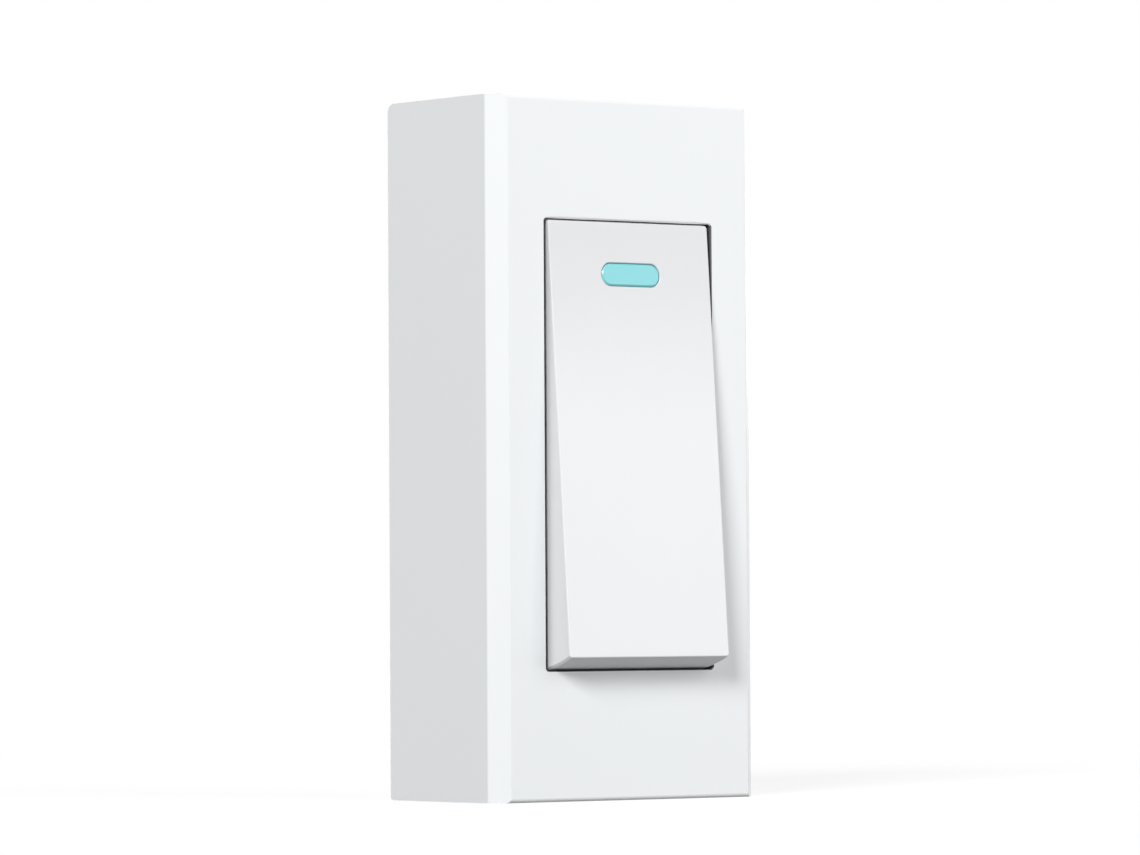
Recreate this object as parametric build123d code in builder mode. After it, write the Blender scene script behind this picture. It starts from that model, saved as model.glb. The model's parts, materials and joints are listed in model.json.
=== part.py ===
from build123d import *
import math
import os

# A surface-mounted light switch with one tall rocker. Sizes are in millimetres.
# Its back lies on the wall in the plane y = 0, the room is towards -Y, and +Z is up.
# The origin is the middle of the back. A depth is a distance out from the wall.
# The switch stands at off: the rocker's upper end is pressed flush, its lower end stands out.

# Housing
HEIGHT = 86.0
WIDTH = 41.0
DEPTH = 22.0
SIDE_BEVEL = 2.0
LONG_EDGE_R = 0.3
FRONT_END_R = 0.5
BACK_TOP_R = 1.2
BACK_FOOT_R = 0.5
WALL = 1.8
FRONT_WALL = 2.0
CAVITY_CORNER_R = 1.6
CAVITY_BEVEL = 1.2
RIB = 1.0
RIB_BACK = 16.0
SIDE_RIB_Z = 14.0
END_RIB_X = 8.0

# Rocker, measured from its pivot: u runs up its face, n stands out of its face
PIVOT_DEPTH = 15.0
PIVOT_Z = 0.5
ROCKER_WIDTH = 24.8
ROCKER_FACE = 9.0
ROCKER_HALF = 26.7
ROCKER_BACK = 2.5
ROCKER_SKIN = 1.8
ROCKER_WALL = 1.6
ROCKER_CORNER = 0.25
ROCKER_EDGE_R = 0.2
ROCKER_RIB_X = 5.5
ROCKER_RIB_BACK = 5.4
ROCKER_CROSS_RIB_U = 17.0
SIDE_GAP = 0.55
END_GAP = 0.22
APERTURE_CORNER_R = 0.35
APERTURE_RIM = 0.15
COLLAR_WALL = 1.2
COLLAR_BACK = 14.2

# Indicator in the rocker's face
INDICATOR_U = 20.3
INDICATOR_LENGTH = 9.1
INDICATOR_HEIGHT = 2.9
INDICATOR_GAP = 0.07
INDICATOR_FLANGE = 0.8
INDICATOR_EDGE = 0.2
INDICATOR_RIM = 0.1

# Carrier under the rocker
CARRIER_WIDTH = 16.4
CARRIER_HALF = 13.0
CARRIER_BACK = 0.5
CARRIER_FRONT = 3.5
TRUNNION_R = 1.2
TRUNNION_END = 10.2
BEARING_GAP = 0.05
FOOT_WIDTH = 3.0
FOOT_X = 6.2
STOP_GAP = 0.03
CLIP_WIDTH = 5.0
CLIP = 1.2
CLIP_GAP = 0.2
CLIP_NOSE = 0.8
CLIP_BACK = -0.6

# Sprung plunger in the carrier
TUBE_R = 2.6
TUBE_BACK = -4.0
BORE_R = 1.7
BORE_END = 3.0
PLUNGER_R = 1.62
PLUNGER_TOP = -1.5
PLUNGER_STEM_R = 0.75
PLUNGER_STEM = 1.2
SPRING_R = 1.15
SPRING_WIRE_R = 0.16
SPRING_TURNS = 4
SPRING_WIRE_SIDES = 5

# Contact arm, rocking on the common terminal
ARM_DEPTH = 7.0
ARM_TILT = math.radians(7.0)
ARM_HALF = 9.5
ARM_WIDTH = 5.0
ARM = 0.8
ARM_NOTCH = 0.25
CONTACT_V = 8.0
CONTACT_R = 1.5
CONTACT_RIM = 0.6
CONTACT_CROWN = 0.9
CONTACT_SHANK_R = 0.78
CONTACT_HOLE_R = 0.8
RIVET_HEAD_R = 1.2
RIVET_HEAD = 0.3
RUNNING_GAP = 0.06

# Rear base, inside the cover's skirt
BASE = 2.4
BASE_GAP = 0.2
BASE_CORNER_R = 1.4
RIM = 1.2
RIM_HEIGHT = 2.0
FIXING_SPACING = 60.3
FIXING_R = 2.1
FIXING_BOSS_R = 4.4
FIXING_BOSS = 1.2
CABLE_ENTRY_Z = 37.3
CABLE_ENTRY_WIDTH = 16.0
CABLE_ENTRY_HEIGHT = 4.8
HOOK_Z = 25.0
HOOK_WIDTH = 7.0
HOOK = 1.2
HOOK_TOP = 9.0
HOOK_NOSE = 0.7
HOOK_CATCH = 5.9
POCKET_CLEAR = 0.3
KNOCKOUT_WIDTH = 14.0
KNOCKOUT_TALL = 9.0
KNOCKOUT_DEPTH = 9.0
KNOCKOUT_GROOVE = 0.8
KNOCKOUT_SKIN = 0.7

# Insulating body of the mechanism
CELL_HALF_WIDTH = 10.4
CELL_HALF = 22.5
CELL_FRONT_DEPTH = 12.5
CELL_WALL = 1.2
CELL_FLOOR = 1.3
CHAMBER_HALF = 12.0
GUIDE_X = 3.7
GUIDE = 1.0
GUIDE_FRONT = 8.4
LUG_X = 6.0
LUG_Z = 25.0
LUG_R = 3.0
LUG = 3.0
NUB_Z = 6.0
NUB_WIDTH = 2.8
NUB = 0.6
NUB_BACK = 9.8
NUB_FRONT = 11.2

# Frame that holds the carrier
FRAME = 1.2
FRAME_HALF = 16.3
FRAME_WINDOW_X = 4.2
FRAME_WINDOW_Z = 14.7
CHEEK = 1.4
CHEEK_R = 3.0
LEG = 1.0
LEG_WIDTH = 5.0
LEG_GAP = 0.1
LEG_BACK = 8.8

# Terminals
STRIP = 0.8
STRIP_WIDTH = 5.0
STRIP_BEND_R = 0.9
TERMINAL_Z = 18.2
TERMINAL_STEP = 14.6
TERMINAL_END = 20.9
TERMINAL_WIDTH = 11.0
TERMINAL_FRONT = 6.8
TERMINAL_COLLAR_R = 2.2
TERMINAL_COLLAR = 1.2
THREAD_R = 1.25
THREAD_GAP = 0.02
CLAMP = 1.0
CLAMP_WIDTH = 10.0
CLAMP_HEIGHT = 4.6
CLAMP_LIP = 0.7
CLAMP_HOLE_R = 1.4
WIRE_ROOM = 1.8
WIRE_X = 3.4
WIRE_HOLE_R = 1.5

# Screws
TERMINAL_HEAD_R = 2.1
TERMINAL_HEAD = 1.5
TERMINAL_SHANK = 4.7
BODY_SCREW_R = 1.2
BODY_SCREW_HEAD_R = 2.3
BODY_SCREW_HEAD = 1.4
BODY_SCREW_EDGE = 0.5
BODY_SCREW_SHANK = 4.7
BODY_SCREW_HOLE_R = 1.35
SCREW_SLOT = 0.7
SCREW_SLOT_DEPTH = 0.8

# Rest position of the rocker: its upper corner lies in the plane of the cover's front
ROCKER_END_R = math.hypot(ROCKER_HALF, ROCKER_FACE)
FLUSH = DEPTH - PIVOT_DEPTH
TILT = math.acos(FLUSH / ROCKER_END_R) - math.atan2(ROCKER_HALF, ROCKER_FACE)

# Planes. On a front plane the second axis is up; on a side plane the first axis is up
# and the second runs out from the wall.
FRONT = Plane(origin=(0, 0, 0), x_dir=(1, 0, 0), z_dir=(0, -1, 0))
SIDE = Plane(origin=(0, 0, 0), x_dir=(0, 0, 1), z_dir=(1, 0, 0))
CELL_FRONT = Plane(origin=(0, 0, PIVOT_Z), x_dir=(1, 0, 0), z_dir=(0, -1, 0))
CELL_SIDE = Plane(origin=(0, 0, PIVOT_Z), x_dir=(0, 0, 1), z_dir=(1, 0, 0))
PIVOT = (0, -PIVOT_DEPTH, PIVOT_Z)
PIVOT_FRONT = Plane(origin=PIVOT, x_dir=(1, 0, 0), z_dir=(0, -1, 0))
ROCKER_TURN = (math.sin(TILT), math.cos(TILT))
ROCKER_FRONT = Plane(origin=PIVOT, x_dir=(1, 0, 0), z_dir=(0, -ROCKER_TURN[1], ROCKER_TURN[0]))
ROCKER_SIDE = Plane(origin=PIVOT, x_dir=(0, *ROCKER_TURN), z_dir=(1, 0, 0))
ARM_PIVOT = (0, -ARM_DEPTH, PIVOT_Z)
ARM_TURN = (-math.sin(ARM_TILT), math.cos(ARM_TILT))
ARM_FRONT = Plane(origin=ARM_PIVOT, x_dir=(1, 0, 0), z_dir=(0, -ARM_TURN[1], ARM_TURN[0]))
ARM_SIDE = Plane(origin=ARM_PIVOT, x_dir=(0, *ARM_TURN), z_dir=(1, 0, 0))

# Sizes that follow from the ones above
CAVITY_X = WIDTH / 2 - WALL
CAVITY_Z = HEIGHT / 2 - WALL
CAVITY_FRONT = DEPTH - FRONT_WALL
APERTURE_WIDTH = ROCKER_WIDTH + 2 * SIDE_GAP
APERTURE_R = ROCKER_END_R + END_GAP
COLLAR_X = APERTURE_WIDTH / 2 + COLLAR_WALL
COLLAR_Z = APERTURE_R + COLLAR_WALL
BASE_X = CAVITY_X - BASE_GAP
BASE_Z = CAVITY_Z - BASE_GAP
FLOOR_DEPTH = BASE + CELL_FLOOR
FRAME_FRONT = CELL_FRONT_DEPTH + FRAME
STOP_N = (FRAME_FRONT + STOP_GAP - PIVOT_DEPTH + CARRIER_HALF * ROCKER_TURN[0]) / ROCKER_TURN[1]
CHAMBER_END = CELL_HALF - CELL_WALL
PARTITION_END = CHAMBER_HALF + CELL_WALL
CLAMP_DEPTH = TERMINAL_FRONT + WIRE_ROOM
FLOOR_LINE = FLOOR_DEPTH + STRIP / 2
HEAD_LINE = TERMINAL_FRONT - STRIP / 2
# The plunger's round end stands just off the arm at both ends of the rocker's travel
PLUNGER_CENTRE = (
    ARM + PLUNGER_R + RUNNING_GAP - (PIVOT_DEPTH - ARM_DEPTH) * math.cos(ARM_TILT)
) / math.cos(TILT + ARM_TILT)
# The moving contact's crown comes to rest on the fixed contact when the arm tips over
CROWN_R = (CONTACT_R**2 + (CONTACT_CROWN - CONTACT_RIM) ** 2) / (2 * (CONTACT_CROWN - CONTACT_RIM))
CROWN_CENTRE = CROWN_R - CONTACT_CROWN
CONTACT_DEPTH = (
    ARM_DEPTH
    - CONTACT_V * math.sin(ARM_TILT)
    + CROWN_CENTRE * math.cos(ARM_TILT)
    - CROWN_R
    - RUNNING_GAP / 2
)
CONTACT_Z = CONTACT_V * math.cos(ARM_TILT) + CROWN_CENTRE * math.sin(ARM_TILT)


def level(z):
    """Level plane at a height, whose second axis runs out from the wall."""
    return Plane(origin=(0, 0, z), x_dir=(1, 0, 0), z_dir=(0, 0, -1))


def save(piece, name):
    """Label a finished piece and write it to its own file."""
    piece.part.label = name
    export_step(piece.part, f"parts/{name}.step")


def build_front_cover():
    """Moulded cover: bevelled long edges, open back, aperture with a collar behind it."""
    with BuildPart() as front_cover:
        with BuildSketch(level(0)) as plan:
            with Locations((0, DEPTH / 2)):
                Rectangle(WIDTH, DEPTH)
            chamfer(plan.vertices().group_by(Axis.Y)[-1], SIDE_BEVEL)
            fillet(plan.vertices().filter_by_position(Axis.Y, SIDE_BEVEL, DEPTH), LONG_EDGE_R)
        extrude(amount=HEIGHT / 2, both=True)
        with BuildSketch(SIDE) as profile:
            with Locations((0, DEPTH / 2)):
                Rectangle(HEIGHT, DEPTH)
            back = profile.vertices().group_by(Axis.Y)[0].sort_by(Axis.X)
            fillet(back[-1], BACK_TOP_R)
            back = profile.vertices().group_by(Axis.Y)[0].sort_by(Axis.X)
            fillet(back[0], BACK_FOOT_R)
            fillet(profile.vertices().group_by(Axis.Y)[-1], FRONT_END_R)
        extrude(amount=WIDTH / 2, both=True, mode=Mode.INTERSECT)

        # Hollow from the back
        with BuildSketch(FRONT) as cavity:
            Rectangle(2 * CAVITY_X, 2 * CAVITY_Z)
            fillet(cavity.vertices(), CAVITY_CORNER_R)
        extrude(amount=CAVITY_FRONT, mode=Mode.SUBTRACT)
        inside = front_cover.faces().filter_by(Axis.Y).group_by(Axis.Y)[1]
        chamfer(inside.edges().filter_by(Axis.Z), CAVITY_BEVEL)

        # Collar round the aperture, and the ribs that stiffen the front wall
        with BuildSketch(CELL_FRONT.offset(COLLAR_BACK)):
            Rectangle(2 * COLLAR_X, 2 * COLLAR_Z)
        extrude(amount=CAVITY_FRONT - COLLAR_BACK)
        side_rib = CAVITY_X - COLLAR_X + RIB
        end_rib = CAVITY_Z - COLLAR_Z + RIB
        with BuildSketch(FRONT.offset(RIB_BACK)):
            with GridLocations(CAVITY_X + COLLAR_X, 2 * SIDE_RIB_Z, 2, 2):
                Rectangle(side_rib, RIB)
            with GridLocations(2 * END_RIB_X, CAVITY_Z + COLLAR_Z, 2, 2):
                Rectangle(RIB, end_rib)
        extrude(amount=CAVITY_FRONT - RIB_BACK)

        # Aperture, cut as a drum about the rocker's pivot so that the gap stays even
        with BuildSketch(PIVOT_FRONT) as drum:
            with Locations((0, APERTURE_R / 2)):
                Rectangle(APERTURE_WIDTH, APERTURE_R)
            fillet(drum.vertices().group_by(Axis.Y)[-1], APERTURE_CORNER_R)
        revolve(axis=Axis(PIVOT, (1, 0, 0)), mode=Mode.SUBTRACT)
        front = front_cover.faces().filter_by(Axis.Y).sort_by(Axis.Y)[0]
        chamfer(front.inner_wires()[0].edges(), APERTURE_RIM)

        # Pockets that the base's hooks snap into
        pocket_height = HOOK_TOP - HOOK_CATCH + POCKET_CLEAR
        with Locations(
            (0, -(HOOK_CATCH + HOOK_TOP) / 2, HOOK_Z), (0, -(HOOK_CATCH + HOOK_TOP) / 2, -HOOK_Z)
        ):
            Box(
                2 * (BASE_X + HOOK_NOSE + BASE_GAP),
                pocket_height,
                HOOK_WIDTH + 2 * POCKET_CLEAR,
                mode=Mode.SUBTRACT,
            )

        # Knock-out for surface wiring, thinned from inside at the foot
        with BuildSketch(level(-CAVITY_Z)):
            with Locations((0, KNOCKOUT_DEPTH)):
                Rectangle(KNOCKOUT_WIDTH, KNOCKOUT_TALL)
                Rectangle(
                    KNOCKOUT_WIDTH - 2 * KNOCKOUT_GROOVE,
                    KNOCKOUT_TALL - 2 * KNOCKOUT_GROOVE,
                    mode=Mode.SUBTRACT,
                )
        extrude(amount=WALL - KNOCKOUT_SKIN, mode=Mode.SUBTRACT)
    save(front_cover, "front_cover")


def build_rear_base():
    """Base plate that is screwed to the wall and carries the mechanism and the cover."""
    with BuildPart() as rear_base:
        with BuildSketch(FRONT) as plate:
            Rectangle(2 * BASE_X, 2 * BASE_Z)
            fillet(plate.vertices(), BASE_CORNER_R)
        extrude(amount=BASE)
        with BuildSketch(FRONT.offset(BASE)) as rim:
            Rectangle(2 * BASE_X, 2 * BASE_Z)
            fillet(rim.vertices(), BASE_CORNER_R)
            Rectangle(2 * (BASE_X - RIM), 2 * (BASE_Z - RIM), mode=Mode.SUBTRACT)
        extrude(amount=RIM_HEIGHT)

        # Bosses and holes for the two wall screws
        with BuildSketch(FRONT.offset(BASE)):
            with GridLocations(0, FIXING_SPACING, 1, 2):
                Circle(FIXING_BOSS_R)
        extrude(amount=FIXING_BOSS)
        with BuildSketch(FRONT):
            with GridLocations(0, FIXING_SPACING, 1, 2):
                Circle(FIXING_R)
        extrude(amount=BASE + FIXING_BOSS, mode=Mode.SUBTRACT)

        # Entries for a cable out of the wall
        with BuildSketch(FRONT):
            with GridLocations(0, 2 * CABLE_ENTRY_Z, 1, 2):
                RectangleRounded(CABLE_ENTRY_WIDTH, CABLE_ENTRY_HEIGHT, BASE_CORNER_R)
        extrude(amount=BASE, mode=Mode.SUBTRACT)

        # Ledges that locate the mechanism
        with BuildSketch(CELL_FRONT.offset(BASE)):
            with GridLocations(2 * (CELL_HALF_WIDTH + BASE_GAP + RIM / 2), 2 * FRAME_HALF, 2, 2):
                Rectangle(RIM, LEG_WIDTH)
        extrude(amount=RIM_HEIGHT)

        # Blind holes for the screws that hold the mechanism
        with BuildSketch(CELL_FRONT.offset(BASE)):
            with Locations((LUG_X, LUG_Z), (-LUG_X, -LUG_Z)):
                Circle(BODY_SCREW_R + THREAD_GAP)
        extrude(amount=LUG - BODY_SCREW_SHANK - THREAD_GAP, mode=Mode.SUBTRACT)

        # Snap hooks for the cover, in both sides
        for z in (-HOOK_Z, HOOK_Z):
            with BuildSketch(level(z)):
                with BuildLine():
                    Polyline(
                        (BASE_X - HOOK, BASE),
                        (BASE_X, BASE),
                        (BASE_X, HOOK_CATCH),
                        (BASE_X + HOOK_NOSE, HOOK_CATCH + HOOK_NOSE / 2),
                        (BASE_X - BASE_GAP, HOOK_TOP),
                        (BASE_X - HOOK, HOOK_TOP),
                        close=True,
                    )
                make_face()
                mirror(about=Plane.YZ)
            extrude(amount=HOOK_WIDTH / 2, both=True)
    save(rear_base, "rear_base")


def build_rocker():
    """Hollow rocker cap with drum ends, ribs, and two legs that clip under the carrier."""
    corner_u = math.sqrt(ROCKER_END_R**2 - ROCKER_BACK**2)
    inner_r = ROCKER_END_R - ROCKER_WALL
    inner_n = ROCKER_FACE - ROCKER_SKIN
    inner_u = math.sqrt(inner_r**2 - inner_n**2)
    inner_back_u = math.sqrt(inner_r**2 - ROCKER_BACK**2)
    inner_x = ROCKER_WIDTH / 2 - ROCKER_WALL
    leg_u = CARRIER_HALF + CLIP_GAP
    with BuildPart() as rocker:
        with BuildSketch(ROCKER_SIDE):
            with BuildLine():
                Line((-ROCKER_HALF, ROCKER_FACE), (ROCKER_HALF, ROCKER_FACE))
                RadiusArc((ROCKER_HALF, ROCKER_FACE), (corner_u, ROCKER_BACK), ROCKER_END_R)
                Line((corner_u, ROCKER_BACK), (-corner_u, ROCKER_BACK))
                RadiusArc((-corner_u, ROCKER_BACK), (-ROCKER_HALF, ROCKER_FACE), ROCKER_END_R)
            make_face()
        extrude(amount=ROCKER_WIDTH / 2, both=True)
        ends = rocker.faces().filter_by(GeomType.CYLINDER).edges()
        chamfer(ends.filter_by(GeomType.CIRCLE), ROCKER_CORNER)
        face = rocker.faces().filter_by(GeomType.PLANE).sort_by(Axis(PIVOT, ROCKER_FRONT.z_dir))[-1]
        fillet(face.edges(), ROCKER_EDGE_R)

        # Hollow from the back
        with BuildSketch(ROCKER_SIDE):
            with BuildLine():
                Line((-inner_u, inner_n), (inner_u, inner_n))
                RadiusArc((inner_u, inner_n), (inner_back_u, ROCKER_BACK), inner_r)
                Line((inner_back_u, ROCKER_BACK), (-inner_back_u, ROCKER_BACK))
                RadiusArc((-inner_back_u, ROCKER_BACK), (-inner_u, inner_n), inner_r)
            make_face()
        extrude(amount=inner_x, both=True, mode=Mode.SUBTRACT)

        # Long ribs that rest on the carrier, shallow ones beyond them, and two cross ribs
        with BuildSketch(ROCKER_FRONT.offset(CARRIER_FRONT)):
            with GridLocations(2 * ROCKER_RIB_X, 0, 2, 1):
                Rectangle(RIB, 2 * (CARRIER_HALF - RIB))
        extrude(amount=inner_n - CARRIER_FRONT)
        with BuildSketch(ROCKER_FRONT.offset(ROCKER_RIB_BACK)):
            with GridLocations(2 * ROCKER_RIB_X, 0, 2, 1):
                Rectangle(RIB, 2 * ROCKER_CROSS_RIB_U)
            with GridLocations(0, 2 * ROCKER_CROSS_RIB_U, 1, 2):
                Rectangle(2 * inner_x, RIB)
        extrude(amount=inner_n - ROCKER_RIB_BACK)

        # Clip legs, each with a nose under the carrier's end
        with BuildSketch(ROCKER_SIDE):
            with BuildLine():
                Polyline(
                    (leg_u, inner_n),
                    (leg_u, CARRIER_BACK - RUNNING_GAP),
                    (leg_u - CLIP_NOSE, CARRIER_BACK - RUNNING_GAP),
                    (leg_u, CLIP_BACK),
                    (leg_u + CLIP, CLIP_BACK),
                    (leg_u + CLIP, inner_n),
                    close=True,
                )
            make_face()
            mirror(about=Plane.YZ)
        extrude(amount=CLIP_WIDTH / 2, both=True)

        # Window for the indicator
        with BuildSketch(ROCKER_FRONT.offset(inner_n)):
            with Locations((0, INDICATOR_U)):
                SlotOverall(INDICATOR_LENGTH, INDICATOR_HEIGHT)
        extrude(amount=ROCKER_SKIN, mode=Mode.SUBTRACT)
        face = rocker.faces().filter_by(GeomType.PLANE).sort_by(Axis(PIVOT, ROCKER_FRONT.z_dir))[-1]
        chamfer(face.inner_wires()[0].edges(), INDICATOR_RIM)
    save(rocker, "rocker")


def build_indicator_insert():
    """Coloured indicator pressed in from behind: a rounded bar with a flange at its back."""
    inner_n = ROCKER_FACE - ROCKER_SKIN
    length = INDICATOR_LENGTH - 2 * INDICATOR_GAP
    height = INDICATOR_HEIGHT - 2 * INDICATOR_GAP
    with BuildPart() as indicator_insert:
        with BuildSketch(ROCKER_FRONT.offset(inner_n)):
            with Locations((0, INDICATOR_U)):
                SlotOverall(length, height)
        extrude(amount=ROCKER_SKIN)
        face = indicator_insert.faces().sort_by(Axis(PIVOT, ROCKER_FRONT.z_dir))[-1]
        chamfer(face.edges(), INDICATOR_EDGE)
        with BuildSketch(ROCKER_FRONT.offset(inner_n)):
            with Locations((0, INDICATOR_U)):
                SlotOverall(length + 2 * INDICATOR_FLANGE, height + 2 * INDICATOR_FLANGE)
        extrude(amount=-INDICATOR_FLANGE)
    save(indicator_insert, "indicator_insert")


def build_rocker_carrier():
    """See-saw carrier: trunnions, stop feet and the tube that guides the plunger."""
    with BuildPart() as rocker_carrier:
        with BuildSketch(ROCKER_FRONT.offset(CARRIER_BACK)):
            RectangleRounded(CARRIER_WIDTH, 2 * CARRIER_HALF, RIB)
        extrude(amount=CARRIER_FRONT - CARRIER_BACK)
        # Pockets between the ribs, so that the plate has even walls
        with BuildSketch(ROCKER_FRONT.offset(CARRIER_FRONT)):
            with GridLocations(0, CARRIER_HALF + RIB, 1, 2):
                RectangleRounded(2 * (ROCKER_RIB_X - RIB), CARRIER_HALF / 2, RIB)
        extrude(amount=CLIP - CARRIER_FRONT + CARRIER_BACK, mode=Mode.SUBTRACT)

        # Blocks and trunnions at mid-length, in the cheeks of the frame
        block_x = CARRIER_WIDTH / 2 - RIB
        with BuildSketch(ROCKER_SIDE):
            with Locations((0, (CARRIER_BACK - RIB) / 2)):
                Rectangle(2 * TRUNNION_R + RIB, CARRIER_BACK + RIB)
        extrude(amount=CARRIER_WIDTH / 2 + STOP_GAP, both=True)
        with BuildSketch(ROCKER_SIDE):
            with Locations((0, (CARRIER_BACK - RIB) / 2)):
                Rectangle(2 * TRUNNION_R + RIB, CARRIER_BACK + RIB)
        extrude(amount=block_x - RIB, both=True, mode=Mode.SUBTRACT)
        for side in (-1, 1):
            with BuildSketch(ROCKER_SIDE.offset(side * block_x)):
                Circle(TRUNNION_R)
            extrude(amount=side * (TRUNNION_END - block_x))

        # Feet that stop the rocker on the frame at both ends of its travel
        with BuildSketch(ROCKER_FRONT.offset(STOP_N)):
            with GridLocations(2 * FOOT_X, 2 * CARRIER_HALF - RIB, 2, 2):
                Rectangle(FOOT_WIDTH, RIB)
        extrude(amount=CARRIER_BACK - STOP_N)

        # Tube and its blind bore
        with BuildSketch(ROCKER_FRONT.offset(TUBE_BACK)):
            Circle(TUBE_R)
        extrude(amount=BORE_END + CLIP - TUBE_BACK)
        with BuildSketch(ROCKER_FRONT.offset(TUBE_BACK)):
            Circle(BORE_R)
        extrude(amount=BORE_END - TUBE_BACK, mode=Mode.SUBTRACT)
    save(rocker_carrier, "rocker_carrier")


def build_plunger():
    """Turned pin with a round end and a stem that holds the spring."""
    with BuildPart() as plunger:
        with BuildSketch(ROCKER_SIDE):
            with BuildLine():
                Line((0, PLUNGER_TOP + PLUNGER_STEM), (PLUNGER_STEM_R, PLUNGER_TOP + PLUNGER_STEM))
                Line((PLUNGER_STEM_R, PLUNGER_TOP + PLUNGER_STEM), (PLUNGER_STEM_R, PLUNGER_TOP))
                Line((PLUNGER_STEM_R, PLUNGER_TOP), (PLUNGER_R, PLUNGER_TOP))
                Line((PLUNGER_R, PLUNGER_TOP), (PLUNGER_R, PLUNGER_CENTRE))
                RadiusArc((PLUNGER_R, PLUNGER_CENTRE), (0, PLUNGER_CENTRE - PLUNGER_R), PLUNGER_R)
                Line((0, PLUNGER_CENTRE - PLUNGER_R), (0, PLUNGER_TOP + PLUNGER_STEM))
            make_face()
        revolve(axis=Axis(PIVOT, ROCKER_FRONT.z_dir))
    save(plunger, "plunger")


def build_plunger_spring():
    """Compression spring between the bore's end and the plunger's shoulder."""
    start = PLUNGER_TOP + SPRING_WIRE_R + STOP_GAP
    length = BORE_END - SPRING_WIRE_R - STOP_GAP - start
    with BuildPart() as plunger_spring:
        with BuildLine() as coil:
            Helix(
                pitch=length / SPRING_TURNS,
                height=length,
                radius=SPRING_R,
                center=ROCKER_FRONT.from_local_coords((0, 0, start)),
                direction=ROCKER_FRONT.z_dir,
            )
        with BuildSketch(Plane(origin=coil.line @ 0, z_dir=coil.line % 0)):
            RegularPolygon(SPRING_WIRE_R, SPRING_WIRE_SIDES)
        sweep(path=coil.line, is_frenet=True)
    save(plunger_spring, "plunger_spring")


def build_contact_arm():
    """Rocking arm with a notch for the knife edge and a hole for its contact."""
    with BuildPart() as contact_arm:
        with BuildSketch(ARM_SIDE):
            with BuildLine():
                Polyline(
                    (-ARM_HALF, 0),
                    (-2 * ARM_NOTCH, 0),
                    (0, ARM_NOTCH),
                    (2 * ARM_NOTCH, 0),
                    (ARM_HALF, 0),
                    (ARM_HALF, ARM),
                    (-ARM_HALF, ARM),
                    close=True,
                )
            make_face()
        extrude(amount=ARM_WIDTH / 2, both=True)
        corners = contact_arm.edges().filter_by(Axis(ARM_PIVOT, ARM_FRONT.z_dir))
        fillet(corners, RIB)
        with BuildSketch(ARM_FRONT):
            with Locations((0, CONTACT_V)):
                Circle(CONTACT_HOLE_R)
        extrude(amount=ARM, mode=Mode.SUBTRACT)
    save(contact_arm, "contact_arm")


def build_moving_contact():
    """Rivet contact with a crowned face towards the wall, closed over on the arm's front."""
    seat = ARM_SIDE.from_local_coords((CONTACT_V, 0, 0))
    with BuildPart() as moving_contact:
        with BuildSketch(Plane(origin=seat, x_dir=(1, 0, 0), z_dir=ARM_SIDE.x_dir)):
            with BuildLine():
                Line((0, CONTACT_CROWN), (0, -ARM - RIVET_HEAD))
                Line((0, -ARM - RIVET_HEAD), (RIVET_HEAD_R, -ARM - RIVET_HEAD))
                Line((RIVET_HEAD_R, -ARM - RIVET_HEAD), (RIVET_HEAD_R, -ARM))
                Line((RIVET_HEAD_R, -ARM), (CONTACT_SHANK_R, -ARM))
                Line((CONTACT_SHANK_R, -ARM), (CONTACT_SHANK_R, 0))
                Line((CONTACT_SHANK_R, 0), (CONTACT_R, 0))
                Line((CONTACT_R, 0), (CONTACT_R, CONTACT_RIM))
                RadiusArc((CONTACT_R, CONTACT_RIM), (0, CONTACT_CROWN), -CROWN_R)
            make_face()
        revolve(axis=Axis(seat, ARM_FRONT.z_dir))
    save(moving_contact, "moving_contact")


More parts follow.
